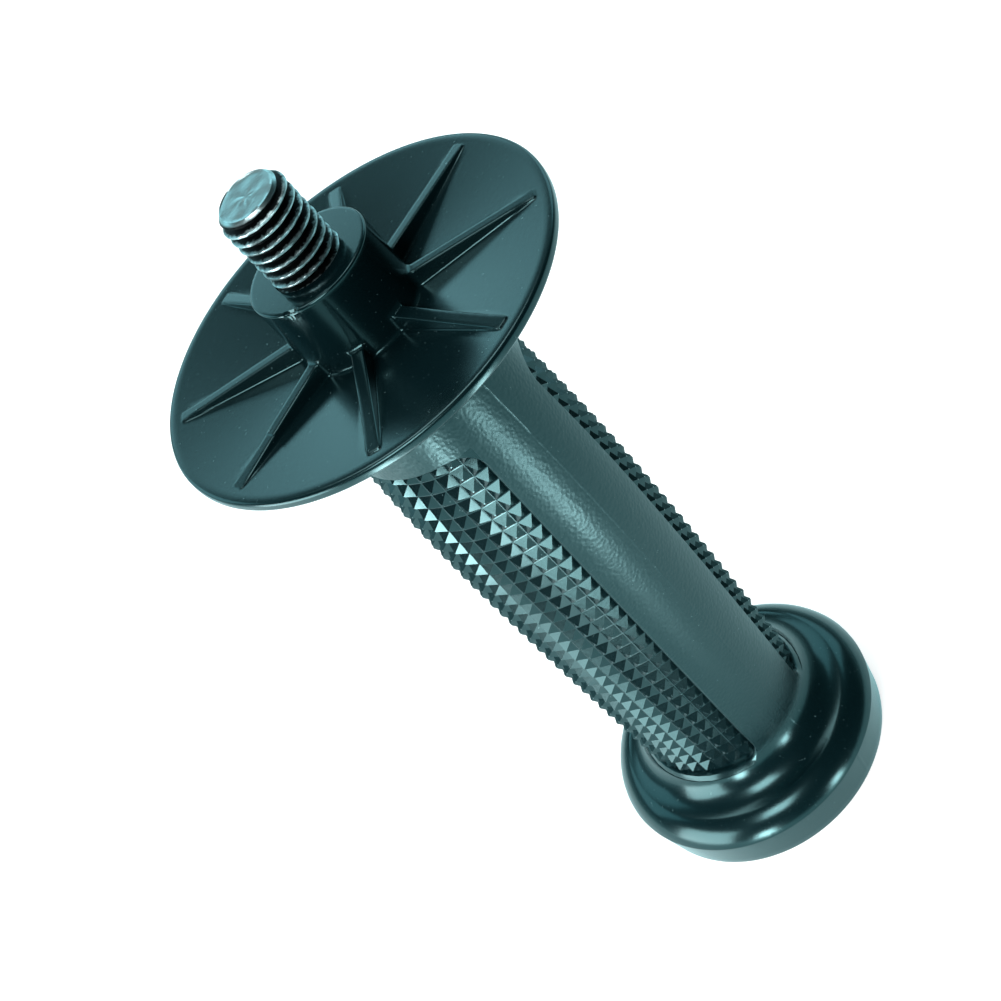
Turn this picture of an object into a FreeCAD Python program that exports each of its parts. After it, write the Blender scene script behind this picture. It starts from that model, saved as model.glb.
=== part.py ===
import FreeCAD, Part
import math
import os
import Sketcher

# Side handle for an angle grinder, standing upright on its knob.
# One plastic moulding carries the guard disc, the grip and the knob, and it is
# moulded around the head of a steel stud whose free end screws into the tool.
# The origin is the centre of the knob's flat base, +Z runs up to the stud's tip,
# and the parting plane of the mould is the plane X = 0.

SIZES = [
    # Knob: a tapered band below a sharp edge, then a rounded shoulder
    ("base_radius", 21.5),
    ("base_bevel", 0.4),
    ("edge_radius", 22.4),
    ("band_height", 6.4),
    ("shoulder_radius", 18.9),
    ("shoulder_height", 9.9),
    ("shoulder_centre_height", 4.6),
    ("knob_fillet", 3.6),
    # Grip: a barrel of two long arcs that meet at the belly
    ("grip_foot_radius", 13.7),
    ("grip_foot_height", 10.7),
    ("belly_radius", 14.6),
    ("belly_height", 62.8),
    ("neck_radius", 12.0),
    ("neck_fillet", 3.0),
    # Guard disc: a shallow dish with a thin bevelled lip
    ("rim_height", 112.8),
    ("disc_radius", 29.4),
    ("rim_width", 1.0),
    ("dish_depth", 1.9),
    ("disc_wall", 2.2),
    ("rim_thickness", 1.4),
    ("rim_bevel", 0.4),
    # Hub around the stud
    ("hub_radius", 8.7),
    ("hub_rise", 9.4),
    ("hub_bevel", 0.3),
    # Ribs between the hub and the rim
    ("rib_count", 8),
    ("rib_width", 1.9),
    ("rib_gap", 2.2),
    ("rib_tip_rise", 0.1),
    ("rib_rise", 0.45),
    ("rib_sink", 0.9),
    # Two recessed panels of pyramids, one on each side of the parting plane
    ("panel_bottom", 14.3),
    ("panel_top_gap", 18.3),
    ("panel_angle", 121.0),
    ("panel_top_corner", 4.0),
    ("panel_bottom_corner", 2.6),
    ("pyramid_columns", 12),
    ("row_pitch", 2.5),
    ("column_angle", 10.0),
    ("last_row_drop", 0.8),
    ("valley_depth", 1.0),
    ("tip_depth", 0.05),
    # Steel stud: a threaded free end, a thinner shank and a head inside the grip
    ("thread_radius", 5.0),
    ("shank_radius", 4.5),
    ("stud_exposed", 12.0),
    ("runout_height", 0.3),
    ("stud_embedded", 33.0),
    ("point_height", 1.5),
    ("point_radius", 3.9),
    ("head_across_flats", 16.0),
    ("head_height", 6.4),
]

PANEL_TOP = "rim_height -panel_top_gap"

# How far a cutting shape runs past the surface that it cuts, in mm and degrees
OVERCUT = 2.0
OVERCUT_ANGLE = 4.0
# Distance within which an edge counts as lying on a named circle or height
NEAR = 0.01

doc = FreeCAD.newDocument("side_handle")
sheet = doc.addObject("Spreadsheet::Sheet", "sizes")
for row, (alias, number) in enumerate(SIZES, start=1):
    sheet.set("A%d" % row, alias)
    sheet.set("B%d" % row, str(number))
    sheet.setAlias("B%d" % row, alias)
doc.recompute()


def total(terms):
    """Adds up sheet values, given as words such as 'rim_height -dish_depth'."""
    result = 0.0
    for word in terms.split():
        value = float(sheet.get(word.lstrip("-")))
        result += -value if word.startswith("-") else value
    return result


def formula(terms):
    """The same sum, written as an expression that stays bound to the sheet."""
    signed = [word if word.startswith("-") else "+" + word for word in terms.split()]
    joined = " ".join("%s sizes.%s" % (word[0], word[1:]) for word in signed)
    return joined[2:] if joined.startswith("+") else joined


def bind(feature, prop, terms):
    feature.setExpression(prop, formula(terms))


def body_plane(body, role):
    return next(item for item in body.Origin.OriginFeatures if item.Role == role)


def new_sketch(body, name, role):
    sketch = body.newObject("Sketcher::SketchObject", name)
    sketch.AttachmentSupport = (body_plane(body, role), [""])
    sketch.MapMode = "FlatFace"
    return sketch


def hold(sketch, kind, geometry, terms):
    """One driving distance from the sketch's origin, or a point kept on an axis."""
    if terms:
        number = sketch.addConstraint(Sketcher.Constraint(kind, *geometry, total(terms)))
        sketch.setExpression("Constraints[%d]" % number, formula(terms))
        return
    axis = -2 if kind == "DistanceX" else -1
    sketch.addConstraint(Sketcher.Constraint("PointOnObject", *geometry, axis))


def long_arc(start, end, centre_height):
    """An arc between two points whose centre lies at a given height on the inner side."""
    run = (start.x - end.x) * 2
    square = start.x**2 - end.x**2
    square += (start.y - centre_height) ** 2 - (end.y - centre_height) ** 2
    centre = FreeCAD.Vector(square / run, centre_height, 0)
    angles = [math.atan2(p.y - centre_height, p.x - centre.x) for p in (start, end)]
    circle = Part.Circle(centre, FreeCAD.Vector(0, 0, 1), (start - centre).Length)
    return Part.ArcOfCircle(circle, *angles)


def draw_outline(sketch, corners, arcs=None):
    """Draws a closed outline of straight lines and long arcs through bound corners.

    arcs maps the number of a stretch to the height of its arc's centre.
    """
    arcs = arcs or {}
    points = [FreeCAD.Vector(total(across), total(up), 0) for across, up in corners]
    count = len(points)
    for place in range(count):
        start, end = points[place], points[(place + 1) % count]
        if place in arcs:
            sketch.addGeometry(long_arc(start, end, total(arcs[place])), False)
        else:
            sketch.addGeometry(Part.LineSegment(start, end), False)
    for place in range(count):
        follower = (place + 1) % count
        sketch.addConstraint(Sketcher.Constraint("Coincident", place, 2, follower, 1))
    for place, (across, up) in enumerate(corners):
        hold(sketch, "DistanceX", (place, 1), across)
        hold(sketch, "DistanceY", (place, 1), up)
    for place, terms in arcs.items():
        hold(sketch, "DistanceY", (place, 3), terms)


def ring_edges(feature, radius, height):
    """Names of the circular edges of a given radius at a given height."""
    names = []
    for number, edge in enumerate(feature.Shape.Edges, start=1):
        curve = edge.Curve
        if not isinstance(curve, Part.Circle):
            continue
        level = abs(curve.Center.z - height) < NEAR and abs(abs(curve.Axis.z) - 1) < NEAR
        if level and abs(curve.Radius - radius) < NEAR:
            names.append("Edge%d" % number)
    return names


def dress_edges(name, base, edges, kind, size):
    """Rounds (Fillet) or bevels (Chamfer) some edges of the moulding."""
    dressed = moulding.newObject("PartDesign::" + kind, name)
    dressed.Base = (base, edges)
    bind(dressed, "Radius" if kind == "Fillet" else "Size", size)
    doc.recompute()
    return dressed


# Moulding: the turned form, its dressed edges and its ribs
moulding = doc.addObject("PartDesign::Body", "moulding")
HUB_TOP = "rim_height hub_rise"
DISH_FLOOR = "rim_height -dish_depth"
DISH_UNDERSIDE = "rim_height -dish_depth -disc_wall"

turned_outline = new_sketch(moulding, "turned_outline", "XZ_Plane")
draw_outline(
    turned_outline,
    [
        ("", ""),
        ("base_radius", ""),
        ("edge_radius", "band_height"),
        ("shoulder_radius", "shoulder_height"),
        ("grip_foot_radius", "grip_foot_height"),
        ("belly_radius", "belly_height"),
        ("neck_radius", DISH_UNDERSIDE),
        ("disc_radius", "rim_height -rim_thickness"),
        ("disc_radius", "rim_height"),
        ("disc_radius -rim_width", "rim_height"),
        ("hub_radius", DISH_FLOOR),
        ("hub_radius", HUB_TOP),
        ("", HUB_TOP),
    ],
    arcs={2: "shoulder_centre_height", 4: "belly_height", 5: "belly_height"},
)
turned = moulding.newObject("PartDesign::Revolution", "turned")
turned.Profile = turned_outline
turned.ReferenceAxis = (turned_outline, ["V_Axis"])
turned.Angle = 360
doc.recompute()

knob_blend = dress_edges(
    "knob_blend",
    turned,
    ring_edges(turned, total("grip_foot_radius"), total("grip_foot_height")),
    "Fillet",
    "knob_fillet",
)
neck_blend = dress_edges(
    "neck_blend",
    knob_blend,
    ring_edges(knob_blend, total("neck_radius"), total(DISH_UNDERSIDE)),
    "Fillet",
    "neck_fillet",
)
lip_rings = ring_edges(neck_blend, total("disc_radius"), total("rim_height"))
lip_rings += ring_edges(neck_blend, total("disc_radius"), total("rim_height -rim_thickness"))
rim_lip = dress_edges("rim_lip", neck_blend, lip_rings, "Chamfer", "rim_bevel")
base_rings = ring_edges(rim_lip, total("base_radius"), 0)
base_edge = dress_edges("base_edge", rim_lip, base_rings, "Chamfer", "base_bevel")
hub_rings = ring_edges(base_edge, total("hub_radius"), total(HUB_TOP))
hub_edge = dress_edges("hub_edge", base_edge, hub_rings, "Chamfer", "hub_bevel")

# One rib stands on the dish, from inside the hub out to its run-out near the rim
rib_outline = new_sketch(moulding, "rib_outline", "XZ_Plane")
RIB_ROOT = "hub_radius -rib_width"
draw_outline(
    rib_outline,
    [
        (RIB_ROOT, "rim_height -dish_depth -rib_sink"),
        ("disc_radius -rib_gap", "rim_height -rib_sink"),
        ("disc_radius -rib_gap", "rim_height rib_tip_rise"),
        (RIB_ROOT, "rim_height rib_rise"),
    ],
)
rib = moulding.newObject("PartDesign::Pad", "rib")
rib.Profile = rib_outline
rib.SideType = "Symmetric"
bind(rib, "Length", "rib_width")
doc.recompute()

ribs = moulding.newObject("PartDesign::PolarPattern", "ribs")
ribs.Originals = [rib]
ribs.Axis = (rib_outline, ["V_Axis"])
ribs.Angle = 360
bind(ribs, "Occurrences", "rib_count")
moulding.Tip = ribs
doc.recompute()

# Grip panels: the space above the pyramids is cut out of the barrel
def barrel_radius(height):
    """Radius of the smooth barrel at a height, from its two arcs."""
    belly = FreeCAD.Vector(total("belly_radius"), total("belly_height"), 0)
    if height < belly.y:
        end = FreeCAD.Vector(total("grip_foot_radius"), total("grip_foot_height"), 0)
    else:
        end = FreeCAD.Vector(total("neck_radius"), total(DISH_UNDERSIDE), 0)
    arc = long_arc(end, belly, belly.y)
    return arc.Center.x + math.sqrt(arc.Radius**2 - (height - belly.y) ** 2)


def polar(radius, degrees, height):
    angle = math.radians(degrees)
    return FreeCAD.Vector(radius * math.cos(angle), radius * math.sin(angle), height)


def flat_face(points):
    return Part.Face(Part.makePolygon(points + points[:1]))


def panel_core():
    """Radius of the panel block's inner side, which ends inside the pad of pyramids."""
    return total("neck_radius -valley_depth") - OVERCUT


def pyramid_pad():
    """A closed solid whose outer side is the field of pyramids and the valleys around it."""
    rows = int(total(PANEL_TOP + " -panel_bottom") / total("row_pitch"))
    columns = int(total("pyramid_columns"))
    half_angle = total("panel_angle") / 2 + OVERCUT_ANGLE
    field_angle = columns * total("column_angle") / 2
    top = total(PANEL_TOP + " -last_row_drop") + total("row_pitch") / 2
    heights = [top - total("row_pitch") * step for step in range(rows, -1, -1)]
    heights = [total("panel_bottom") - OVERCUT] + heights + [top + OVERCUT]
    angles = [total("column_angle") * step - field_angle for step in range(columns + 1)]
    angles = [-half_angle] + angles + [half_angle]
    valleys = [barrel_radius(height) - total("valley_depth") for height in heights]
    core = panel_core() - OVERCUT
    faces = []
    for row in range(len(heights) - 1):
        low, high = heights[row], heights[row + 1]
        for column in range(len(angles) - 1):
            left, right = angles[column], angles[column + 1]
            corners = [
                polar(valleys[row], left, low),
                polar(valleys[row], right, low),
                polar(valleys[row + 1], right, high),
                polar(valleys[row + 1], left, high),
            ]
            if 0 < row < len(heights) - 2 and 0 < column < len(angles) - 2:
                middle = (low + high) / 2
                tip = polar(
                    barrel_radius(middle) - total("tip_depth"), (left + right) / 2, middle
                )
                for corner in range(4):
                    faces.append(flat_face([corners[corner], corners[(corner + 1) % 4], tip]))
            else:
                faces.append(flat_face(corners))
    for left, right in zip(angles[:-1], angles[1:]):
        quad = [(left, heights[0]), (right, heights[0]), (right, heights[-1]), (left, heights[-1])]
        faces.append(flat_face([polar(core, angle, height) for angle, height in quad]))
    for height, valley in ((heights[0], valleys[0]), (heights[-1], valleys[-1])):
        outer = [polar(valley, angle, height) for angle in angles]
        inner = [polar(core, angle, height) for angle in reversed(angles)]
        faces.append(flat_face(outer + inner))
    for angle in (angles[0], angles[-1]):
        outer = [polar(valley, angle, height) for valley, height in zip(valleys, heights)]
        inner = [polar(core, angle, heights[-1]), polar(core, angle, heights[0])]
        faces.append(flat_face(outer + inner))
    shell = Part.makeShell(faces)
    shell.sewShape()
    solid = Part.makeSolid(shell)
    return solid if solid.Volume > 0 else solid.reversed()


def panel_space():
    """The rounded window of one panel, as a block that reaches through the grip's skin."""
    inner = panel_core()
    outer = total("belly_radius") + OVERCUT
    low = total("panel_bottom")
    high = total(PANEL_TOP)
    half = total("panel_angle") / 2
    corners = [polar(inner, -half, low), polar(outer, -half, low)]
    corners += [polar(outer, -half, high), polar(inner, -half, high)]
    axis = FreeCAD.Vector(0, 0, 1)
    block = flat_face(corners).revolve(FreeCAD.Vector(), axis, total("panel_angle"))
    for height, size in ((low, "panel_bottom_corner"), (high, "panel_top_corner")):
        edges = [
            edge
            for edge in block.Edges
            if isinstance(edge.Curve, Part.Line)
            and abs(edge.BoundBox.ZMin - height) < NEAR
            and abs(edge.BoundBox.ZMax - height) < NEAR
        ]
        block = block.makeFillet(total(size), edges)
    return block


one_panel = panel_space().cut(pyramid_pad())
panel_cut = doc.addObject("Part::Feature", "panel_cut")
panel_cut.Shape = one_panel
opposite_cut = doc.addObject("Part::Feature", "opposite_cut")
opposite_cut.Shape = one_panel
opposite_cut.Placement = FreeCAD.Placement(
    FreeCAD.Vector(), FreeCAD.Rotation(FreeCAD.Vector(0, 0, 1), 180)
)

# Stud: a screw whose thread starts at the hub's top, drawn at its outer diameter. Below
# it the thread runs out into a thinner shank, which the grip holds with the screw's head.
SHANK_FOOT = HUB_TOP + " -stud_embedded"


def stud_piece(kind, name, foot, height):
    piece = doc.addObject("Part::" + kind, name)
    bind(piece, "Placement.Base.z", foot)
    bind(piece, "Height", height)
    return piece


shank = stud_piece("Cylinder", "shank", SHANK_FOOT, "stud_embedded")
bind(shank, "Radius", "shank_radius")
runout = stud_piece("Cone", "runout", HUB_TOP + " -runout_height", "runout_height")
bind(runout, "Radius1", "shank_radius")
bind(runout, "Radius2", "thread_radius")
thread = stud_piece("Cylinder", "thread", HUB_TOP, "stud_exposed -point_height")
bind(thread, "Radius", "thread_radius")
point = stud_piece("Cone", "point", HUB_TOP + " stud_exposed -point_height", "point_height")
bind(point, "Radius1", "thread_radius")
bind(point, "Radius2", "point_radius")
head = stud_piece("Prism", "head", SHANK_FOOT + " -head_height", "head_height")
head.Polygon = 6
head.setExpression("Circumradius", "sizes.head_across_flats / sqrt(3)")
stud = doc.addObject("Part::MultiFuse", "stud")
stud.Shapes = [shank, runout, thread, point, head]
stud.Label = "threaded_stud"

# The plastic flows around the stud, so its pocket is the stud's own form
handle = moulding
for name, tool in (("one_side", panel_cut), ("both_sides", opposite_cut), ("handle", stud)):
    cut = doc.addObject("Part::Cut", name)
    cut.Base = handle
    cut.Tool = tool
    handle = cut
handle.Label = "handle_body"
doc.recompute()

for item in doc.Objects:
    if "Invalid" in item.State or "Error" in item.State:
        raise RuntimeError("%s did not build: %s" % (item.Name, item.State))
os.makedirs("parts", exist_ok=True)
for node in (handle, stud):
    if node.Shape.isNull() or not node.Shape.isValid():
        raise RuntimeError("%s has no valid shape" % node.Label)
    if len(node.Shape.Solids) != 1:
        raise RuntimeError("%s is not one solid" % node.Label)
    node.Shape.exportStep("parts/%s.step" % node.Label)
    box = node.Shape.BoundBox
    print(
        "%s: volume %.1f mm3, faces %d, height %.2f to %.2f mm, width %.2f mm"
        % (node.Label, node.Shape.Volume, len(node.Shape.Faces), box.ZMin, box.ZMax, box.XLength)
    )
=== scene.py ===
# %% [markdown]
# # A side handle for an angle grinder
# The real part is one plastic moulding with a steel stud in its end. The CAD model gives
# its exact sizes, and this lesson dresses it: first the shapes, then the finishes, then
# the camera and the lights. Lengths are written in millimetres and turned to metres once.

# %% Load the frame
import math

import bmesh
import bpy
import numpy as np
from mathutils import Matrix, Vector


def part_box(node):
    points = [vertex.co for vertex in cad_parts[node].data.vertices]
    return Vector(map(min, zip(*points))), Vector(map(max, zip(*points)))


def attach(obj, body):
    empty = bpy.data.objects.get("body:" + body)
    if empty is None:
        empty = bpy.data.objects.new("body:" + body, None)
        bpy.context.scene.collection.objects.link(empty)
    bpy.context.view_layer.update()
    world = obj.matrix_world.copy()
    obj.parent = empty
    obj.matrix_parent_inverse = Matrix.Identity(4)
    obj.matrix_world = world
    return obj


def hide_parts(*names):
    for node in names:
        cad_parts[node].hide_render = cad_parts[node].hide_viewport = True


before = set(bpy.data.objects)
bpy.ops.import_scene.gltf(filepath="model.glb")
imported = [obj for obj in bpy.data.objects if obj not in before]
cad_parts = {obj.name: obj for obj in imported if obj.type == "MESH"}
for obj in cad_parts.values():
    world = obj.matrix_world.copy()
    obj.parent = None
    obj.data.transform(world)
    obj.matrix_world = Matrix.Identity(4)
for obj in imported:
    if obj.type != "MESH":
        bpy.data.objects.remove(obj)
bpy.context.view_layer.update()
MM = 0.001
body_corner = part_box("handle_body")[1]
DISC_RADIUS = body_corner[0] / MM
HUB_TOP = body_corner[2] / MM
STUD_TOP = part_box("threaded_stud")[1][2] / MM
print("disc radius %.1f mm, hub top %.1f mm, stud top %.1f mm" % (DISC_RADIUS, HUB_TOP, STUD_TOP))

# %% [markdown]
# ## The outline of the moulding
# The mould was turned, so the handle is an outline swept around the axis. It starts at the
# flat base, runs up the knob's tapered band to a sharp edge, over the rounded shoulder and
# a wide fillet into the barrel, and ends under the guard disc. A curve object could be
# spun with a Screw modifier. Here each point becomes one ring of vertices, because later
# steps have to move the points of single rings.

# %% Corner and arc helpers
# A place on the outline is a pair: its distance from the axis and its height.
GRIP_FOOT = (13.7, 10.7)
BELLY = (14.6, 62.8)
NECK = (12.0, 108.7)


def round_corner(before, corner, after, radius, steps):
    """Points of an arc that replaces a corner and touches both of its sides."""
    before, corner, after = (np.array(p, float) for p in (before, corner, after))
    one = (before - corner) / np.linalg.norm(before - corner)
    two = (after - corner) / np.linalg.norm(after - corner)
    half = math.acos(float(np.clip(one @ two, -1, 1))) / 2
    middle = (one + two) / np.linalg.norm(one + two)
    centre = corner + middle * radius / math.sin(half)
    first = corner + one * radius / math.tan(half) - centre
    last = corner + two * radius / math.tan(half) - centre
    turn = math.pi - 2 * half
    points = []
    for step in range(steps + 1):
        share = step / steps
        mixed = first * math.sin((1 - share) * turn) + last * math.sin(share * turn)
        points.append(tuple(centre + mixed / math.sin(turn)))
    return points


def arc_centre(one, two, centre_height):
    """Centre of the arc through two places whose centre lies at a known height."""
    square = one[0] ** 2 - two[0] ** 2
    square += (one[1] - centre_height) ** 2 - (two[1] - centre_height) ** 2
    return square / (2 * (one[0] - two[0])), centre_height


def barrel_radius(height):
    """Radius of the smooth barrel: two long arcs that meet at the belly."""
    end = GRIP_FOOT if height < BELLY[1] else NECK
    across, up = arc_centre(end, BELLY, BELLY[1])
    radius = BELLY[0] - across
    return across + math.sqrt(radius**2 - (height - up) ** 2)


def on_barrel(height):
    """The outline's place on the barrel at a height."""
    return (barrel_radius(height), height)


print("barrel radius at 20, 60 and 100 mm:", [round(barrel_radius(h), 2) for h in (20, 60, 100)])

# %% The knob, from its base to the grip
BASE_RADIUS = 21.5
BASE_BEVEL = 0.4
EDGE = (22.4, 6.4)
EDGE_ROUND = 0.22
SHOULDER = (18.9, 9.9)
SHOULDER_CENTRE_HEIGHT = 4.6
KNOB_FILLET = 5.8
# The fillet leans on the barrel's slope a little above the foot of the grip.
SLOPE_ABOVE = 6
centre = arc_centre(EDGE, SHOULDER, SHOULDER_CENTRE_HEIGHT)
reach = math.dist(centre, SHOULDER)
start, end = (math.atan2(p[1] - centre[1], p[0] - centre[0]) for p in (EDGE, SHOULDER))
shoulder = [
    (centre[0] + reach * math.cos(angle), centre[1] + reach * math.sin(angle))
    for angle in np.linspace(start, end, 12)[1:]
]
outline = round_corner((0, 0), (BASE_RADIUS, 0), EDGE, BASE_BEVEL, 4)
for share in (0.25, 0.5, 0.75, 0.92):
    outline.append((BASE_RADIUS + (EDGE[0] - BASE_RADIUS) * share, EDGE[1] * share))
outline += round_corner((BASE_RADIUS, 0), EDGE, shoulder[0], EDGE_ROUND, 3)
outline += shoulder
above_foot = on_barrel(GRIP_FOOT[1] + SLOPE_ABOVE)
outline += round_corner(SHOULDER, GRIP_FOOT, above_foot, KNOB_FILLET, 16)
print("points of the knob:", len(outline))

# %% The barrel, its neck and the disc's rim
NECK_FILLET = 3.0
RIM_HEIGHT = 112.8
RIM_THICKNESS = 1.4
RIM_UNDER_ROUND = 0.45
RIM_TOP_ROUND = 0.5
DISH_RADIUS = 28.4
BARREL_RINGS = 60
RING_GAP = 0.6
SLOPE_BELOW = 4
rim_under = (DISC_RADIUS, RIM_HEIGHT - RIM_THICKNESS)
rim_top = (DISC_RADIUS, RIM_HEIGHT)
below_neck = on_barrel(NECK[1] - SLOPE_BELOW)
neck_turn = round_corner(below_neck, NECK, rim_under, NECK_FILLET, 10)
barrel_start, barrel_end = outline[-1][1] + RING_GAP, neck_turn[0][1] - RING_GAP
outline += [on_barrel(float(h)) for h in np.linspace(barrel_start, barrel_end, BARREL_RINGS)]
outline += neck_turn
slope = (rim_under[1] - NECK[1]) / (rim_under[0] - NECK[0])
outline += [(r, NECK[1] + (r - NECK[0]) * slope) for r in (17.0, 20.0, 23.0, 26.0, 28.2)]
outline += round_corner(NECK, rim_under, rim_top, RIM_UNDER_ROUND, 5)
outline += round_corner(rim_under, rim_top, (DISH_RADIUS, RIM_HEIGHT), RIM_TOP_ROUND, 6)
print("outline points:", len(outline))

# %% [markdown]
# ## Ribs on the guard disc
# Eight ribs stiffen the disc. They could be boxes joined by a Boolean, but the moulded
# part has rounded tops and fillets everywhere, so the dish is a height map instead. Its
# grid lines follow the sides of the ribs exactly: each 45 degree sector has lines at fixed
# distances from the rib's middle, and evenly spread lines between the ribs.

# %% Grid lines around the axis
RIB_COUNT = 8
RIB_HALF = 0.95
RIB_TIP = 27.2
HUB_RADIUS = 8.7
ROOT_FILLET = 0.7
WALL_DRAFT = 0.035
LINES_BETWEEN = 8
# Distances of the grid lines from a rib's wall. Those below zero lie inside the rib.
WALL_STEPS = (-0.6, -0.25, -0.12, -0.04, 0, WALL_DRAFT, 0.08, 0.17, 0.34)
RIB_LINES = [step + RIB_HALF for step in WALL_STEPS]


def rib_flare(radius):
    """How far a rib's side curves outwards as it meets the hub."""
    reach = HUB_RADIUS + ROOT_FILLET - radius
    if reach <= 0:
        return 0.0
    reach = min(reach, ROOT_FILLET)
    return ROOT_FILLET - math.sqrt(ROOT_FILLET**2 - reach**2)


def grid_angles(radius):
    """Angles in radians of all grid lines on a ring of a given radius."""
    flare = rib_flare(radius)
    near = [math.asin((d + flare * min(1, d / RIB_HALF)) / radius) for d in RIB_LINES]
    half = math.pi / RIB_COUNT
    gap = (half - near[-1]) / (LINES_BETWEEN + 1)
    side = near + [near[-1] + gap * k for k in range(1, LINES_BETWEEN + 1)]
    sector = [-a for a in reversed(side)] + [0.0] + side + [half]
    return np.array([s + 2 * half * k for k in range(RIB_COUNT) for s in sector])


OUTER_ANGLES = grid_angles(RIB_TIP + WALL_STEPS[-1])
LINES = len(OUTER_ANGLES)
SECTOR = LINES // RIB_COUNT
print("grid lines around the axis:", LINES)

# %% Height of the dish and its ribs
DISH_DEPTH = 1.9
RIB_RISE = 0.45
RIB_TIP_RISE = 0.1
CORNER_ROUND = 0.3
CROWN_ROUND = 0.25
FOOT_FILLET = 0.3
STEPPED_RIB = 4
STEP_RADIUS = 19.4
STEP_DROP = 0.14


def dish_height(radius):
    """Height of the dish between the ribs: a shallow cone that falls towards the hub."""
    share = (DISH_RADIUS - radius) / (DISH_RADIUS - HUB_RADIUS)
    return RIM_HEIGHT - DISH_DEPTH * max(0.0, min(1.0, share))


def rib_height(radius, number):
    """Height of a rib's top above the dish. One rib has a small step, left by a mould repair."""
    share = (radius - HUB_RADIUS) / (RIB_TIP - HUB_RADIUS)
    top = RIM_HEIGHT + RIB_RISE + (RIB_TIP_RISE - RIB_RISE) * share
    if number == STEPPED_RIB and radius > STEP_RADIUS:
        top -= STEP_DROP
    return top - dish_height(radius)


def surface_height(radius, angle, number):
    """Dish height at a place, with the rib of that sector rounded on top and at its foot."""
    across = abs(radius * math.sin(angle)) - RIB_HALF - rib_flare(radius) + CORNER_ROUND
    along = radius - RIB_TIP + CORNER_ROUND
    inside = min(max(across, along), 0.0)
    edge = math.hypot(max(across, 0.0), max(along, 0.0)) + inside - CORNER_ROUND
    full = rib_height(radius, number)
    crown = min(CROWN_ROUND, full / 2)
    foot = min(FOOT_FILLET, full * 0.45)
    if edge <= -crown:
        rise = full
    elif edge <= 0:
        rise = full - crown + math.sqrt(crown**2 - (edge + crown) ** 2)
    elif edge < WALL_DRAFT:
        share = edge / WALL_DRAFT
        rise = (full - crown) * (1 - share) + foot * share
    elif edge < WALL_DRAFT + foot:
        rise = foot - math.sqrt(foot**2 - (foot - edge + WALL_DRAFT) ** 2)
    else:
        rise = 0.0
    return dish_height(radius) + rise


print("rib height at the hub and the tip: %.2f, %.2f mm" % (rib_height(9, 0), rib_height(27, 0)))


# %% Rings of the base, the outline and the dish
def turned_ring(radius, height, angles=OUTER_ANGLES):
    """A level ring with a point on each grid line."""
    level = np.full(LINES, height)
    return np.column_stack([radius * np.cos(angles), radius * np.sin(angles), level])


def dish_ring(radius, lift=0.0):
    """A ring that follows the dish and its ribs, or is lifted off them."""
    angles = grid_angles(radius)
    local = np.angle(np.exp(1j * (angles - 2 * np.pi * (np.arange(LINES) // SECTOR) / RIB_COUNT)))
    heights = [surface_height(radius, float(a), k // SECTOR) + lift for k, a in enumerate(local)]
    return np.column_stack([radius * np.cos(angles), radius * np.sin(angles), heights])


BASE_RINGS = (7.0, 14.0, 19.0, 20.6)
OUTER_DISH = (DISH_RADIUS, 27.9)
INNER_DISH = (26.4, 25.0, 23.0, 21.0, 19.6, 19.4, 19.25, 17.5, 15.5, 13.5, 12.0, 11.0, 10.2, 9.75)
rib_ends = tuple(RIB_TIP + step for step in WALL_STEPS[:0:-1])
rings = [turned_ring(radius, 0.0) for radius in BASE_RINGS]
rings += [turned_ring(radius, height) for radius, height in outline]
rings += [dish_ring(radius) for radius in OUTER_DISH + rib_ends + INNER_DISH]
for tilt in np.radians([0, 15, 32, 50, 68, 90]):
    reach = HUB_RADIUS + ROOT_FILLET * (1 - math.sin(tilt))
    rings.append(dish_ring(reach, ROOT_FILLET * (1 - math.cos(tilt))))
print("rings up to the hub:", len(rings))

# %% Rings of the hub and the hole for the stud
HUB_ROUND = 0.3
HUB_ROUND_STEPS = 5
STUD_HOLE = 5.02
HOLE_FLOOR = HUB_TOP - 3
hub_foot = rings[-1]
hub_wall = hub_foot.copy()
hub_wall[:, 2] = HUB_TOP - HUB_ROUND
for share in (0.08, 0.2, 0.4, 0.6, 0.8, 0.93, 1.0):
    rings.append(hub_foot * (1 - share) + hub_wall * share)
HUB_ANGLES = np.arctan2(hub_foot[:, 1], hub_foot[:, 0])
below_edge, hub_edge = (HUB_RADIUS, HOLE_FLOOR), (HUB_RADIUS, HUB_TOP)
hub_end = round_corner(below_edge, hub_edge, (0, HUB_TOP), HUB_ROUND, HUB_ROUND_STEPS)[1:]
hub_end += [(radius, HUB_TOP) for radius in (8.1, 7.4, 6.4, 5.5, STUD_HOLE)]
hub_end.append((STUD_HOLE, HOLE_FLOOR))
rings += [turned_ring(radius, height, HUB_ANGLES) for radius, height in hub_end]
rings = np.array(rings)
print("rings:", rings.shape[0], "points:", rings.shape[0] * LINES)

# %% [markdown]
# ## Marks of making and use
# The two halves of the mould meet in a plane, and their joint leaves a fine raised line
# down the middle of both smooth lands. Handling dents the sharp edge of the knob and
# chips the hub's top edge. All of these move single points of the rings by less than half
# a millimetre, so they stay inside the size of the solid.

# %% The parting line
PARTING_RISE = 0.06
PARTING_HEIGHTS = (1.0, 111.0)
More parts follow.
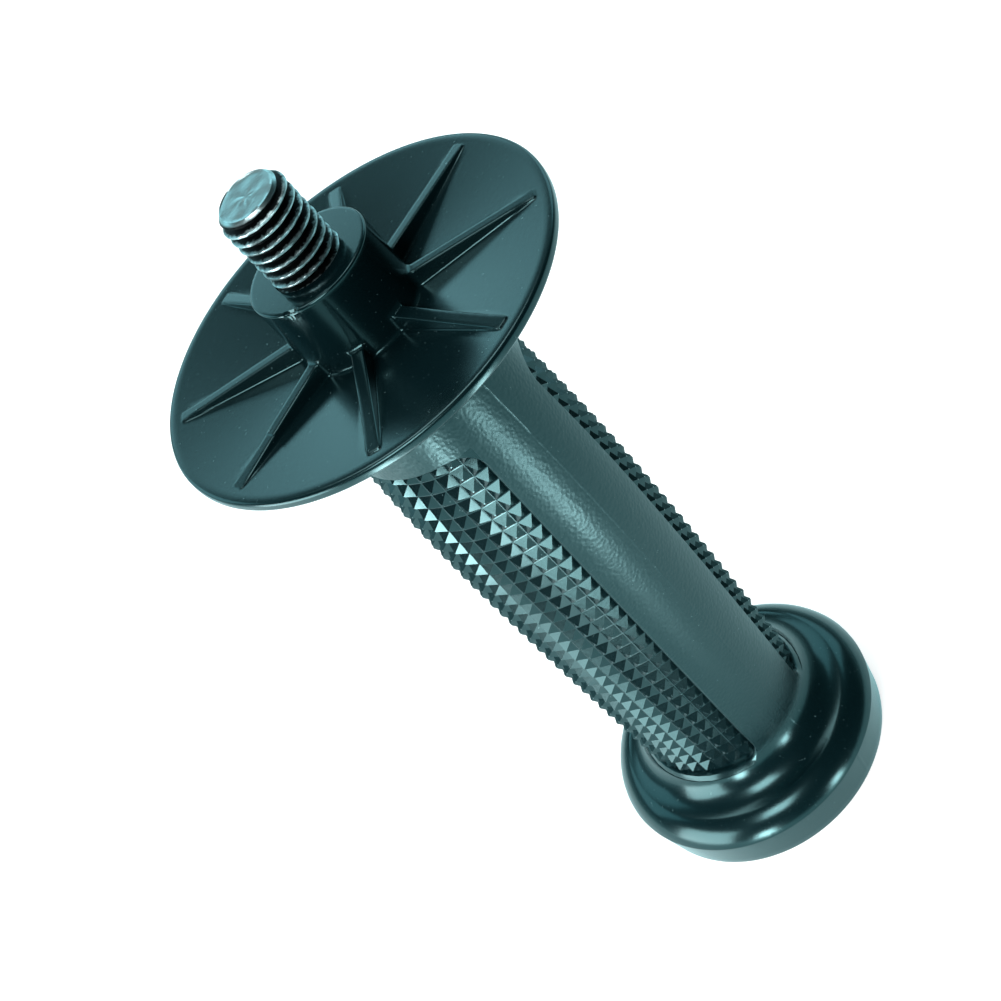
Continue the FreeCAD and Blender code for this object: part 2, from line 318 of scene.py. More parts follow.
# The line stands a little higher and lower along its length.
PARTING_WAVE = 1.9
LAND_SECTORS = (2, 6)
CENTRE_LINE = (SECTOR - 2) // 2
heights = rings[:, 0, 2]
radii = np.hypot(rings[:, 0, 0], rings[:, 0, 1])
outside = np.arange(len(rings)) < len(BASE_RINGS) + len(outline)
marked = outside & (heights > PARTING_HEIGHTS[0]) & (heights < PARTING_HEIGHTS[1])
for sector in LAND_SECTORS:
    line = sector * SECTOR + CENTRE_LINE
    for row in np.nonzero(marked)[0]:
        grow = PARTING_RISE * (0.75 + 0.25 * math.sin(heights[row] * PARTING_WAVE))
        rings[row, line, :2] *= 1 + grow / radii[row]
print("rings with a parting line:", int(marked.sum()))

# %% The dented edge and the chipped hub
DENT_DEPTH = 0.035
CHIP_ANGLE = -156.0
CHIP_HALF_WIDTH = 7.5
CHIP_DROP = 0.34
CHIP_INSET = 0.22
dice = np.random.default_rng(7)
edge_rows = np.nonzero(outside & (abs(heights - EDGE[1]) < 0.25) & (radii > 22))[0]
dents = np.convolve(dice.normal(0, 1, LINES + 6), [0.2, 0.6, 0.2], "valid")[:LINES]
for row in edge_rows:
    rings[row, :, :2] *= 1 - np.clip(dents, 0, 2)[:, None] * DENT_DEPTH / radii[row]
away = np.degrees(np.angle(np.exp(1j * (HUB_ANGLES - math.radians(CHIP_ANGLE)))))
chip = np.clip(1 - (away / CHIP_HALF_WIDTH) ** 2, 0, 1) ** 0.6
chip_start = len(rings) - len(hub_end) - 2
for row in range(chip_start, chip_start + 2 + HUB_ROUND_STEPS):
    rough = 0.8 + 0.35 * dice.random(LINES)
    rings[row, :, 2] -= chip * rough * CHIP_DROP
    rings[row, :, :2] *= 1 - (chip * rough * CHIP_INSET / HUB_RADIUS)[:, None]
print("edge rows dented:", len(edge_rows))


# %% Skin the rings into one closed mesh
def skin(name, stack, first_pole, last_pole):
    """Joins rings of equal length by quads and closes both ends with fans."""
    rows, count = stack.shape[:2]
    points = np.vstack([stack.reshape(-1, 3), [first_pole, last_pole]]) * MM
    along = np.arange(count)
    after = (along + 1) % count
    faces = []
    for row in range(rows - 1):
        a, b = row * count, (row + 1) * count
        faces += np.column_stack([a + along, a + after, b + after, b + along]).tolist()
    first, last = rows * count, rows * count + 1
    top = (rows - 1) * count
    faces += [(first, int(after[k]), int(along[k])) for k in range(count)]
    faces += [(top + int(along[k]), top + int(after[k]), last) for k in range(count)]
    mesh = bpy.data.meshes.new(name)
    mesh.from_pydata(points.tolist(), [], faces)
    mesh.validate()
    piece = bpy.data.objects.new(name, mesh)
    bpy.context.collection.objects.link(piece)
    return piece


moulding = skin("moulding", rings, (0, 0, 0), (0, 0, HOLE_FLOOR))
print("moulding:", len(moulding.data.polygons), "faces")

# %% [markdown]
# ## Knurled panels
# Each side of the grip has a sunk panel filled with rows of small pyramids, cut into the
# mould with a pointed tool. The panel is made as its real tool would make it: a block with
# rounded corners, less a pad of pyramids, is cut out of the barrel. The block flares a
# little where it leaves the barrel, which rounds the edge of the recess.

# %% Rows and columns of the pyramids
PANEL_BOTTOM = 14.3
PANEL_LENGTH = 80.2
PANEL_HALF_ANGLE = 60.5
ROWS = 32
COLUMNS = 12
ROW_PITCH = 2.5
COLUMN_ANGLE = 10.0
LAST_ROW_DROP = 0.8
VALLEY_HALF = 0.07
CELL_TO_ANGLE = COLUMN_ANGLE / ROW_PITCH
PAD_BELOW = 2.5
PAD_ABOVE = 2.0
PAD_HALF_ANGLE = 66.0


def polar(radius, degrees, height):
    """A point from its radius, its angle and its height."""
    angle = math.radians(degrees)
    return (radius * math.cos(angle), radius * math.sin(angle), height)


def doubled(lines, half):
    """Each line becomes two, on both sides of a narrow flat valley."""
    return [line + side for line in lines for side in (-half, half)]


field_top = PANEL_BOTTOM + PANEL_LENGTH - LAST_ROW_DROP + ROW_PITCH / 2
row_lines = doubled([field_top - ROW_PITCH * (ROWS - k) for k in range(ROWS + 1)], VALLEY_HALF)
column_lines = [COLUMN_ANGLE * (k - COLUMNS / 2) for k in range(COLUMNS + 1)]
column_lines = doubled(column_lines, VALLEY_HALF * CELL_TO_ANGLE)
pad_heights = [PANEL_BOTTOM - PAD_BELOW] + row_lines + [field_top + PAD_ABOVE]
pad_angles = [-PAD_HALF_ANGLE] + column_lines + [PAD_HALF_ANGLE]
print("pyramids in one panel:", ROWS * COLUMNS)

# %% The pad's face, with a pyramid in each cell
VALLEY_DEPTH = 1.0
TIP_DEPTH = 0.05
TIP_HALF = 0.1
columns = len(pad_angles)
pad_points = []
for height in pad_heights:
    valley_radius = barrel_radius(height) - VALLEY_DEPTH
    pad_points += [polar(valley_radius, angle, height) for angle in pad_angles]
pad_faces = []
for row in range(len(pad_heights) - 1):
    for column in range(columns - 1):
        low, high = row * columns + column, (row + 1) * columns + column
        corners = [low, low + 1, high + 1, high]
        inner_row = 0 < row < len(pad_heights) - 2 and row % 2 == 0
        inner_column = 0 < column < columns - 2 and column % 2 == 0
        if not (inner_row and inner_column):
            pad_faces.append(corners)
            continue
        middle = (pad_heights[row] + pad_heights[row + 1]) / 2
        centre = (pad_angles[column] + pad_angles[column + 1]) / 2
        tip = len(pad_points)
        for side_a, side_h in ((-1, -1), (1, -1), (1, 1), (-1, 1)):
            angle = centre + side_a * TIP_HALF * CELL_TO_ANGLE
            height = middle + side_h * TIP_HALF
            pad_points.append(polar(barrel_radius(middle) - TIP_DEPTH, angle, height))
        pad_faces.append([tip, tip + 1, tip + 2, tip + 3])
        for k in range(4):
            following = (k + 1) % 4
            pad_faces.append([corners[k], corners[following], tip + following])
            pad_faces.append([corners[k], tip + following, tip + k])
print("faces on the front of the pad:", len(pad_faces))

# %% The pad's back and sides
PAD_CORE = 8.5
core_start = len(pad_points)
for height in (pad_heights[0], pad_heights[-1]):
    pad_points += [polar(PAD_CORE, angle, height) for angle in pad_angles]
last_row = (len(pad_heights) - 1) * columns
for column in range(columns - 1):
    below, above = core_start + column, core_start + columns + column
    pad_faces.append([below + 1, below, above, above + 1])
    pad_faces.append([column + 1, column, below, below + 1])
    pad_faces.append([last_row + column, last_row + column + 1, above + 1, above])
left = [row * columns for row in range(len(pad_heights))]
right = [row * columns + columns - 1 for row in range(len(pad_heights))]
pad_faces.append(left + [core_start + columns, core_start])
pad_faces.append(right[::-1] + [core_start + columns - 1, core_start + 2 * columns - 1])


def closed_piece(name, points, faces):
    """A mesh object from points in millimetres, with its faces turned outwards."""
    mesh = bpy.data.meshes.new(name)
    mesh.from_pydata([tuple(v * MM for v in p) for p in points], [], faces)
    turner = bmesh.new()
    turner.from_mesh(mesh)
    bmesh.ops.recalc_face_normals(turner, faces=turner.faces)
    open_edges = sum(not edge.is_manifold for edge in turner.edges)
    turner.to_mesh(mesh)
    turner.free()
    piece = bpy.data.objects.new(name, mesh)
    bpy.context.collection.objects.link(piece)
    print("%s: %d faces, %d open edges" % (name, len(mesh.polygons), open_edges))
    return piece


pad = closed_piece("pyramid pad", pad_points, pad_faces)

# %% The window of the panel
TOP_CORNER = 4.0
BOTTOM_CORNER = 2.6
CORNER_STEPS = 9
EDGE_STEP = 2.4


def window_outline(grow):
    """The panel's outline as angle and height, grown outwards by some millimetres."""
    wide = math.radians(PANEL_HALF_ANGLE) * BELLY[0] + grow
    low, high = PANEL_BOTTOM - grow, PANEL_BOTTOM + PANEL_LENGTH + grow
    corners = (
        (wide, low, -90, BOTTOM_CORNER),
        (wide, high, 0, TOP_CORNER),
        (-wide, high, 90, TOP_CORNER),
        (-wide, low, 180, BOTTOM_CORNER),
    )
    path = []
    for across, up, start, size in corners:
        size += grow
        centre = (across - math.copysign(size, across), up + (size if up == low else -size))
        for turn in np.radians(np.linspace(start, start + 90, CORNER_STEPS)):
            path.append((centre[0] + size * math.cos(turn), centre[1] + size * math.sin(turn)))
    full = []
    for k, point in enumerate(path):
        following = path[(k + 1) % len(path)]
        span = math.dist(point, following)
        parts = max(1, round(span / EDGE_STEP)) if k % CORNER_STEPS == CORNER_STEPS - 1 else 1
        for part in range(parts):
            share = part / parts
            full.append([point[i] * (1 - share) + following[i] * share for i in (0, 1)])
    return [(math.degrees(across / BELLY[0]), up) for across, up in full]


print("points around the window:", len(window_outline(0.0)))

# %% The block that the panel is cut with
# Each layer is a height above the barrel's surface and what its outline grows by.
LAYERS = ((-1.7, 0.0), (-0.25, 0.0), (-0.1, 0.05), (0.0, 0.17), (0.4, 0.8), (2.4, 0.8))
BLOCK_TIP = 45.0
block_points = []
for lift, grow in LAYERS:
    block_points += [polar(barrel_radius(h) + lift, a, h) for a, h in window_outline(grow)]
around = len(block_points) // len(LAYERS)
outer = (len(LAYERS) - 1) * around
inner_pole, outer_pole = len(block_points), len(block_points) + 1
for radius in (BELLY[0] + LAYERS[0][0], BLOCK_TIP):
    block_points.append(polar(radius, 0, PANEL_BOTTOM + PANEL_LENGTH / 2))
block_faces = []
for layer in range(len(LAYERS) - 1):
    for k in range(around):
        one, two = layer * around + k, layer * around + (k + 1) % around
        block_faces.append([one, two, two + around, one + around])
for k in range(around):
    block_faces.append([inner_pole, (k + 1) % around, k])
    block_faces.append([outer_pole, outer + k, outer + (k + 1) % around])
block = closed_piece("panel window", block_points, block_faces)


# %% Cut both panels out of the barrel
def cut_away(piece, tool):
    """Applies a Boolean difference and removes the tool."""
    cut = piece.modifiers.new("cut", "BOOLEAN")
    cut.operation = "DIFFERENCE"
    cut.solver = "EXACT"
    cut.object = tool
    graph = bpy.context.evaluated_depsgraph_get()
    result = bpy.data.meshes.new_from_object(piece.evaluated_get(graph))
    piece.modifiers.clear()
    piece.data = result
    bpy.data.objects.remove(tool)


cut_away(block, pad)
opposite = block.copy()
opposite.data = block.data.copy()
bpy.context.collection.objects.link(opposite)
opposite.rotation_euler.z = math.pi
bpy.context.view_layer.update()
cut_away(moulding, block)
cut_away(moulding, opposite)
print("moulding with both panels:", len(moulding.data.polygons), "faces")

# %% Smooth surfaces and sharp edges
MOULDING_SHARP_ANGLE = 29.0


def shade(piece, sharp_angle):
    """Smooth shading, with a hard edge where two faces turn by more than an angle."""
    piece.data.polygons.foreach_set("use_smooth", [True] * len(piece.data.polygons))
    piece.data.set_sharp_from_angle(angle=math.radians(sharp_angle))


shade(moulding, MOULDING_SHARP_ANGLE)
moulding.name = "handle_moulding"
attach(moulding, "root")
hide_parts("handle_body")
print("moulding in place of the solid handle_body")

# %% [markdown]
# ## Threaded stud
# The stud is a steel screw with a coarse thread: 10 mm across, 1.5 mm from crest to crest.
# A thread is a groove that climbs one pitch each turn, so its radius depends on the height
# less the share of a turn. The solid has a plain cylinder of the outer diameter, and this
# mesh stands for it with the real groove, worn crests and a rough cut end.

# %% Thread profile
PITCH = 1.5
CREST = 5.0
THREAD_DEPTH = 0.92
CREST_FLAT = 0.17
ROOT_FLAT = 0.22


def thread_radius(height, angle):
    """Radius of a right-hand thread: flat crest, straight flanks, narrow root."""
    phase = ((height - PITCH * angle / (2 * math.pi)) / PITCH) % 1.0
    away = abs(phase - 0.5) * 2
    share = np.clip((away - CREST_FLAT) / (1 - CREST_FLAT - ROOT_FLAT), 0, 1)
    return CREST - THREAD_DEPTH * share


def waves(angle, height, seed):
    """Gentle uneven wear from a few sine waves, between about -1 and 1."""
    picks = np.random.default_rng(seed)
    total = 0.0
    for _ in range(6):
        turns, rate, shift = picks.integers(1, 9), picks.uniform(0.5, 5), picks.uniform(0, 6.3)
        total += math.sin(turns * angle + rate * height + shift)
    return total / 3.5


print("thread radius: crest %.2f mm, root %.2f mm" % (CREST, CREST - THREAD_DEPTH))

# %% Shank of the stud
STUD_LINES = 120
STUD_ROWS = 190
STUD_FOOT = HUB_TOP - 2.0
POINT_HEIGHT = 1.3
POINT_RADIUS = 3.95
WEAR_MEAN = 0.05
WEAR_SPREAD = 0.06
WEAR_SEED = 3
END_TILT = 0.55
END_HIGH_ANGLE = math.radians(35.0)
STUD_ANGLES = [2 * math.pi * k / STUD_LINES for k in range(STUD_LINES)]
stud_rings = []
for row in range(STUD_ROWS + 1):
    ring = []
    for angle in STUD_ANGLES:
        end = STUD_TOP - END_TILT * (1 - math.cos(angle - END_HIGH_ANGLE)) / 2
        height = STUD_FOOT + (end - STUD_FOOT) * row / STUD_ROWS
        wear = WEAR_MEAN + WEAR_SPREAD * waves(angle, height, WEAR_SEED)
        bevel = POINT_RADIUS + (CREST - POINT_RADIUS) * (end - height) / POINT_HEIGHT
        radius = min(float(thread_radius(height, angle)), CREST - max(0.0, wear), bevel)
        ring.append((radius * math.cos(angle), radius * math.sin(angle), height))
    stud_rings.append(ring)
print("rings of the shank:", len(stud_rings))

# %% The cut end of the stud
END_RINGS = (0.97, 0.85, 0.65, 0.4, 0.15)
END_ROUGH = 0.05
END_SINK = 0.02
END_SEED = 5
END_DIMPLE = 0.08
THREAD_SHARP_ANGLE = 35.0
for share in END_RINGS:
    ring = []
    for angle in STUD_ANGLES:
        radius = POINT_RADIUS * share
        tilt = END_TILT * (1 - share * math.cos(angle - END_HIGH_ANGLE)) / 2
        rough = END_ROUGH * (1 + waves(angle, share * 9, END_SEED)) + END_SINK
        ring.append((radius * math.cos(angle), radius * math.sin(angle), STUD_TOP - tilt - rough))
    stud_rings.append(ring)
end_middle = (0, 0, STUD_TOP - END_TILT / 2 - END_DIMPLE)
stud = skin("worn_thread", np.array(stud_rings), (0, 0, STUD_FOOT), end_middle)
shade(stud, THREAD_SHARP_ANGLE)
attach(stud, "root")
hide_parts("threaded_stud")
print("stud:", len(stud.data.polygons), "faces")


# %% [markdown]
# ## Finishes
# A material starts from what the real thing is. Colours are written as the hex values of
# a colour picker and turned to the linear values that the renderer works with.

# %% Colour and node helpers
def linear(code):
    """Linear colour from an sRGB hex code."""
    parts = [int(code[k : k + 2], 16) / 255 for k in (1, 3, 5)]
    parts = [c / 12.92 if c <= 0.04045 else ((c + 0.055) / 1.055) ** 2.4 for c in parts]
    return (*parts, 1.0)


def add(tree, kind, sockets=None, **settings):
    """Adds a node, sets its properties, and fills its sockets by value or by link."""
    node = tree.nodes.new(kind)
    for name, value in settings.items():
        setattr(node, name, value)
    for name, value in (sockets or {}).items():
        if isinstance(value, bpy.types.NodeSocket):
            tree.links.new(value, node.inputs[name])
        else:
            node.inputs[name].default_value = value
    return node


def new_material(name):
    """A material with an empty node tree."""
    material = bpy.data.materials.new(name)
    material.use_nodes = True
    material.node_tree.nodes.clear()
    return material, material.node_tree


print("mid grey in linear light: %.3f" % linear("#808080")[0])

# %% [markdown]
# ### Moulded nylon
# The handle is nylon filled with short glass fibres and dyed right through. The dye is
# nearly black, so the eye mostly sees the pale light that the surface mirrors. The mould's
# etched walls leave a fine leather grain on the lands, which breaks up the highlights
# there. The panels, the knob and the disc are smoother, so their edges carry narrow
# highlights, and the hub is the glossiest part. Nylon's IOR is 1.53.
#
# In every Map Range node below, socket 0 is the value, 1 and 2 are the range it comes
# from, and 3 and 4 are the range it goes to.

# %% Dye and specks of dust
DYE_DARK = "#051417"
DYE_PALE = "#07191C"
DUST = "#6F8B8C"
CLOUD_SIZE = 9.0
SPECK_SIZE = 0.55
SPECK_FROM, SPECK_FULL = 0.70, 0.78
SPECK_COVER = 0.5
# Nearly all values of a noise texture lie in this range.
NOISE_RANGE = (0.3, 0.7)
nylon, tree = new_material("moulded nylon, fine leather grain")
place = add(tree, "ShaderNodeTexCoord").outputs["Object"]
cloud = add(
    tree,
    "ShaderNodeTexNoise",
    {"Vector": place, "Scale": 1 / (CLOUD_SIZE * MM), "Detail": 4.0, "Roughness": 0.6},
)
speck = add(
    tree,
    "ShaderNodeTexNoise",
    {"Vector": place, "Scale": 1 / (SPECK_SIZE * MM), "Detail": 2.0, "Roughness": 0.7},
)
speck_mask = add(
    tree,
    "ShaderNodeMapRange",
    {0: speck.outputs[0], 1: SPECK_FROM, 2: SPECK_FULL, 3: 0.0, 4: SPECK_COVER},
)
dye = add(
    tree,
    "ShaderNodeMix",
    {0: cloud.outputs[0], 6: linear(DYE_DARK), 7: linear(DYE_PALE)},
    data_type="RGBA",
)
dusty = add(
    tree,
    "ShaderNodeMix",
    {0: speck_mask.outputs[0], 6: dye.outputs[2], 7: linear(DUST)},
    data_type="RGBA",
)
print("dye from %s to %s, dust %s" % (DYE_DARK, DYE_PALE, DUST))

# %% Where the smooth lands are
# A point is on a land when it lies beside the panels or above them, in the grip's height.
FOOT_FADE = (13.0, 16.0)
NECK_FADE = (108.0, 107.0)
where = add(tree, "ShaderNodeSeparateXYZ", {0: place}).outputs
flat_place = add(tree, "ShaderNodeCombineXYZ", {0: where[0], 1: where[1]})
from_axis = add(tree, "ShaderNodeVectorMath", {0: flat_place.outputs[0]}, operation="LENGTH")
sideways = add(tree, "ShaderNodeMath", {0: where[0]}, operation="ABSOLUTE")
sideways = add(
    tree,
    "ShaderNodeMath",
    {0: sideways.outputs[0], 1: from_axis.outputs["Value"]},
    operation="DIVIDE",
)
tests = (
    (sideways.outputs[0], math.cos(math.radians(PANEL_HALF_ANGLE)), "LESS_THAN"),
    (where[2], (PANEL_BOTTOM + PANEL_LENGTH) * MM, "GREATER_THAN"),
)
beside, above = [
    add(tree, "ShaderNodeMath", {0: value, 1: limit}, operation=kind).outputs[0]
    for value, limit, kind in tests
]
on_land = add(tree, "ShaderNodeMath", {0: beside, 1: above}, operation="MAXIMUM")
for low, high in (FOOT_FADE, NECK_FADE):
    fade = add(
        tree,
        "ShaderNodeMapRange",
        {0: where[2], 1: low * MM, 2: high * MM, 3: 0.0, 4: 1.0},
    )
    on_land = add(
        tree, "ShaderNodeMath", {0: on_land.outputs[0], 1: fade.outputs[0]}, operation="MULTIPLY"
    )
print("lands from %.0f to %.0f mm" % (FOOT_FADE[0], NECK_FADE[0]))

# %% Roughness of the lands, the disc and the hub
LAND_ROUGHNESS = (0.28, 0.36)
MOULD_ROUGHNESS = 0.2
DISC_ROUGHNESS = 0.22
HUB_ROUGHNESS = 0.14
DISC_HEIGHTS = (107.0, 111.0)
HUB_HEIGHTS = (113.5, 115.0)
on_lands = add(
    tree,
    "ShaderNodeMapRange",
    {
        0: cloud.outputs[0],
        1: NOISE_RANGE[0],
        2: NOISE_RANGE[1],
        3: LAND_ROUGHNESS[0],
        4: LAND_ROUGHNESS[1],
    },
)
elsewhere = add(
    tree,
    "ShaderNodeMapRange",
    {
        0: where[2],
        1: DISC_HEIGHTS[0] * MM,
        2: DISC_HEIGHTS[1] * MM,
        3: MOULD_ROUGHNESS,
        4: DISC_ROUGHNESS,
    },
)
on_hub = add(
    tree,
    "ShaderNodeMapRange",
    {
        0: where[2],
        1: HUB_HEIGHTS[0] * MM,
        2: HUB_HEIGHTS[1] * MM,
        3: 0.0,
        4: HUB_ROUGHNESS - DISC_ROUGHNESS,
    },
)
elsewhere = add(
    tree, "ShaderNodeMath", {0: elsewhere.outputs[0], 1: on_hub.outputs[0]}, operation="ADD"
)
roughness = add(
    tree,
    "ShaderNodeMix",
    {0: on_land.outputs[0], 2: elsewhere.outputs[0], 3: on_lands.outputs[0]},
    data_type="FLOAT",
)
print("roughness of the hub %.2f and of the disc %.2f" % (HUB_ROUGHNESS, DISC_ROUGHNESS))

# %% Leather grain and the finished nylon
NYLON_IOR = 1.53
GRAIN_WIDTH = 0.55
GRAIN_DEPTH = 0.034
GRAIN_ON_LAND = 0.9
GRAIN_EVERYWHERE = 0.08
# A mirrored light looks a little blue-green in the real nylon, hence the low red.
NEAR_TINT = (0.5, 0.95, 0.98, 1.0)
grain = add(
    tree,
    "ShaderNodeTexVoronoi",
    {"Vector": place, "Scale": 1 / (GRAIN_WIDTH * MM), "Smoothness": 0.6},
    feature="SMOOTH_F1",
)
grain_strength = add(
    tree,
    "ShaderNodeMath",
    {0: on_land.outputs[0], 1: GRAIN_ON_LAND, 2: GRAIN_EVERYWHERE},
    operation="MULTIPLY_ADD",
)
relief = add(
    tree,
    "ShaderNodeBump",
    {
        "Height": grain.outputs["Distance"],
        "Strength": grain_strength.outputs[0],
        "Distance": GRAIN_DEPTH * MM,
    },
)
nylon_shader = add(
    tree,
    "ShaderNodeBsdfPrincipled",
    {
        "Base Color": dusty.outputs[2],
        "Roughness": roughness.outputs[0],
        "IOR": NYLON_IOR,
        "Specular Tint": NEAR_TINT,
        "Normal": relief.outputs[0],
    },
)
add(tree, "ShaderNodeOutputMaterial", {"Surface": nylon_shader.outputs[0]})
moulding.data.materials.clear()
moulding.data.materials.append(nylon)
print("nylon grain every %.2f mm" % GRAIN_WIDTH)

# %% [markdown]
# ### Rolled steel thread
# The stud is steel with a thin oiled black finish. Screwing it in and out has worn the
# crests bright, while the roots keep their dark coat and old grease. The colour therefore
# follows the distance from the axis, and the cut end is as bright as the crests. The bright
# crests are also a painted highlight that stands in for their glints, and the dark roots
# are also painted shade in the grooves.

# %% Where the coat has worn off, with a painted highlight on the crests
SCRATCH_SIZE = 0.7
BRIGHT_FROM, BRIGHT_FULL = 4.6, 5.0
WEAR_UNEVENNESS = 0.25
END_FROM, END_BRIGHT = 1.0, 0.7
steel, tree = new_material("oiled steel, worn bright on the crests")
place = add(tree, "ShaderNodeTexCoord").outputs["Object"]
split = add(tree, "ShaderNodeSeparateXYZ", {0: place}).outputs
flat_place = add(tree, "ShaderNodeCombineXYZ", {0: split[0], 1: split[1]})
from_axis = add(tree, "ShaderNodeVectorMath", {0: flat_place.outputs[0]}, operation="LENGTH")
scratch = add(
    tree,
    "ShaderNodeTexNoise",
    {"Vector": place, "Scale": 1 / (SCRATCH_SIZE * MM), "Detail": 5.0, "Roughness": 0.7},
)
uneven = add(
    tree,
    "ShaderNodeMapRange",
    {
        0: scratch.outputs[0],
        1: NOISE_RANGE[0],
        2: NOISE_RANGE[1],
        3: -WEAR_UNEVENNESS * MM,
        4: WEAR_UNEVENNESS * MM,
    },
)
worn = add(
    tree,
    "ShaderNodeMath",
    {0: from_axis.outputs["Value"], 1: uneven.outputs[0]},
    operation="ADD",
)
# Bright on the crests and dark in the grooves: worn steel, and also a painted highlight on the
# crests and painted shade in the grooves.
crest_wear_and_glint = add(
    tree,
    "ShaderNodeMapRange",
    {0: worn.outputs[0], 1: BRIGHT_FROM * MM, 2: BRIGHT_FULL * MM, 3: 0.0, 4: 1.0},
)
on_end = add(
    tree,
    "ShaderNodeMapRange",
    {0: split[2], 1: (STUD_TOP - END_FROM) * MM, 2: (STUD_TOP - END_BRIGHT) * MM, 3: 0.0, 4: 1.0},
)
wear_and_glint = add(
    tree, "ShaderNodeMath", {0: crest_wear_and_glint.outputs[0], 1: on_end.outputs[0]}, operation="MAXIMUM"
)
print("bare steel beyond %.1f mm from the axis" % BRIGHT_FULL)

# %% The finished steel
# The dark colour is the coat and also painted shade in the grooves. The bright colour is bare
# steel and also a painted highlight on the crests.
STEEL_COAT_AND_SHADE = "#0A0D0E"
STEEL_BARE_AND_GLINT = "#A3B6B8"
COAT_ROUGHNESS = 0.55
BARE_ROUGHNESS = 0.28
SCRATCH_DEPTH = 0.06
# The mix paints the crests' glints and the shade in the grooves into the steel's colour, on top
# of its real wear.
colour = add(
    tree,
    "ShaderNodeMix",
    {0: wear_and_glint.outputs[0], 6: linear(STEEL_COAT_AND_SHADE), 7: linear(STEEL_BARE_AND_GLINT)},
    data_type="RGBA",
)
roughness = add(
    tree,
    "ShaderNodeMapRange",
    {0: wear_and_glint.outputs[0], 1: 0.0, 2: 1.0, 3: COAT_ROUGHNESS, 4: BARE_ROUGHNESS},
)
relief = add(
    tree,
    "ShaderNodeBump",
    {"Height": scratch.outputs[0], "Strength": 0.5, "Distance": SCRATCH_DEPTH * MM},
)
steel_shader = add(
    tree,
    "ShaderNodeBsdfPrincipled",
    {
        "Base Color": colour.outputs[2],
        "Roughness": roughness.outputs[0],
        "Normal": relief.outputs[0],
        "Metallic": 1.0,
    },
)
add(tree, "ShaderNodeOutputMaterial", {"Surface": steel_shader.outputs[0]})
stud.data.materials.append(steel)
print("stud finish: dark roots to bright crests")

# %% [markdown]
# ## Floor and surroundings
# The photograph has a plain white ground. White that lit the object this strongly would
# wash out its dark plastic, so the floor's extra white is shown only to camera rays and
# to reflections, and the floor still takes the handle's soft shadow. It is a little
# stronger far out, where the lamps light the floor less. The room is white to the camera
# too. A reflection finds it pale only low down and behind the handle, and nearly dark
# higher up, so that the dish keeps its dark wedges beside the ribs.

# %% Which rays see the white
FLOOR_GLOW = 0.8
FAR_FLOOR_GLOW = 1.0
GLOW_NEAR, GLOW_FAR = 0.2, 0.7
MIRRORED_FLOOR_GLOW = 0.8
# Mirrored white is cool, as daylight is. Seen directly it stays plain white.
COOL = (0.5, 1.0, 1.06, 1.0)
WHITE = (1.0, 1.0, 1.0, 1.0)


def ray_kinds(tree):
    """Two outputs that are 1 for a camera ray, and for a mirrored or refracted ray."""
    rays = add(tree, "ShaderNodeLightPath").outputs
    mirrored = add(
        tree,
        "ShaderNodeMath",
        {0: rays["Is Glossy Ray"], 1: rays["Is Transmission Ray"]},
        operation="MAXIMUM",
    )
    return rays["Is Camera Ray"], mirrored.outputs[0]


paper, tree = new_material("white paper ground")
seen, mirrored = ray_kinds(tree)
mirrored = add(
    tree, "ShaderNodeMath", {0: mirrored, 1: MIRRORED_FLOOR_GLOW}, operation="MULTIPLY"
)
floor_place = add(tree, "ShaderNodeTexCoord").outputs["Object"]
outwards = add(tree, "ShaderNodeVectorMath", {0: floor_place}, operation="LENGTH")
direct = add(
    tree,
    "ShaderNodeMapRange",
    {0: outwards.outputs["Value"], 1: GLOW_NEAR, 2: GLOW_FAR, 3: FLOOR_GLOW, 4: FAR_FLOOR_GLOW},
)
glow = add(
    tree,
    "ShaderNodeMath",
    {0: seen, 1: direct.outputs[0], 2: mirrored.outputs[0]},
    operation="MULTIPLY_ADD",
)
glow_colour = add(tree, "ShaderNodeMix", {0: seen, 6: COOL, 7: WHITE}, data_type="RGBA")
print("floor glow %.1f, and %.1f far out" % (FLOOR_GLOW, FAR_FLOOR_GLOW))

# %% Pale floor
FLOOR_HALF = 1.5
PAPER = "#CFCFCD"
paper_shader = add(
    tree,
    "ShaderNodeBsdfPrincipled",
    {
        "Base Color": linear(PAPER),
        "Roughness": 0.9,
        "Emission Color": glow_colour.outputs[2],
        "Emission Strength": glow.outputs[0],
    },
)
add(tree, "ShaderNodeOutputMaterial", {"Surface": paper_shader.outputs[0]})
signs = ((-1, -1), (1, -1), (1, 1), (-1, 1))
mesh = bpy.data.meshes.new("floor")
mesh.from_pydata([(x * FLOOR_HALF, y * FLOOR_HALF, 0) for x, y in signs], [], [(0, 1, 2, 3)])
floor = bpy.data.objects.new("floor", mesh)
bpy.context.collection.objects.link(floor)
floor.data.materials.append(paper)
print("floor %.0f m wide" % (2 * FLOOR_HALF))

